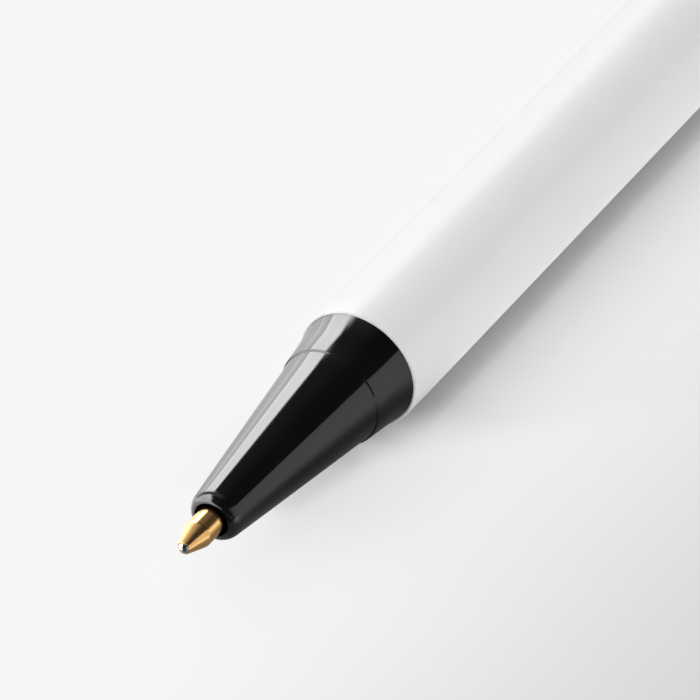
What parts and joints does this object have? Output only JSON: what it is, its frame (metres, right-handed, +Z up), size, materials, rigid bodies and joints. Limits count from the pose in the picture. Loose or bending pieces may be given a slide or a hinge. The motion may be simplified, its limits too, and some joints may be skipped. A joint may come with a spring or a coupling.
{
  "type": "retractable ball pen",
  "caption": "Retractable ball pen: plain tubular barrel, tapered black nose with brass point, side clip, and a push button that slides the refill out and in.",
  "frame": {"origin": "centre of the pen's bounding box in plan, on the table that the pen lies on", "axes": "+X along the pen from the point to the button, +Z up from the table, the clip on the -Y side with its edge on the table"},
  "size_m": [0.1418, 0.0134, 0.0104],
  "materials": {
    "barrel": "satin white moulded plastic",
    "trim": "glossy black moulded plastic",
    "point": "bright turned brass",
    "ball": "ground hard metal",
    "holder": "natural plastic",
    "tube": "clear plastic tube",
    "ink": "paste ink",
    "spring": "drawn spring wire",
    "cam": "natural slippery plastic"
  },
  "bodies": {
    "shell": {"barrel": "barrel", "nose_cone": "trim", "cam_sleeve": "cam", "end_bush": "trim", "clip": "trim", "return_spring": "spring"},
    "button": {"push_button": "trim", "plunger": "cam"},
    "refill": {"point_socket": "point", "tip_holder": "holder", "ink_tube": "tube", "ink_column": "ink"},
    "rotor": {"cam_rotor": "cam"},
    "ball": {"writing_ball": "ball"}
  },
  "joints": [
    {"name": "button_press", "type": "slide", "parent": "shell", "child": "button", "axis": [-1, 0, 0], "range_m": [-0.005, 0.0016]},
    {"name": "refill_slide", "type": "slide", "parent": "shell", "child": "refill", "axis": [-1, 0, 0], "range_m": [-0.005, 0.0016], "deforming": ["return_spring"]},
    {"name": "rotor_turn", "type": "hinge", "parent": "refill", "child": "rotor", "pos_m": [0.02801, 0.00152, 0.0052], "axis": [1, 0, 0], "range_deg": [-19.25, 60.05]},
    {"name": "ball_roll", "type": "hinge", "parent": "refill", "child": "ball", "pos_m": [-0.07044, 0.00152, 0.0052], "axis": [0, 1, 0], "continuous": true}
  ],
  "couplings": [
    {"joint": "refill_slide", "follows": "button_press", "ratio": 1},
    {"joint": "rotor_turn", "follows": "button_press", "rad_per_m": -209.44}
  ]
}
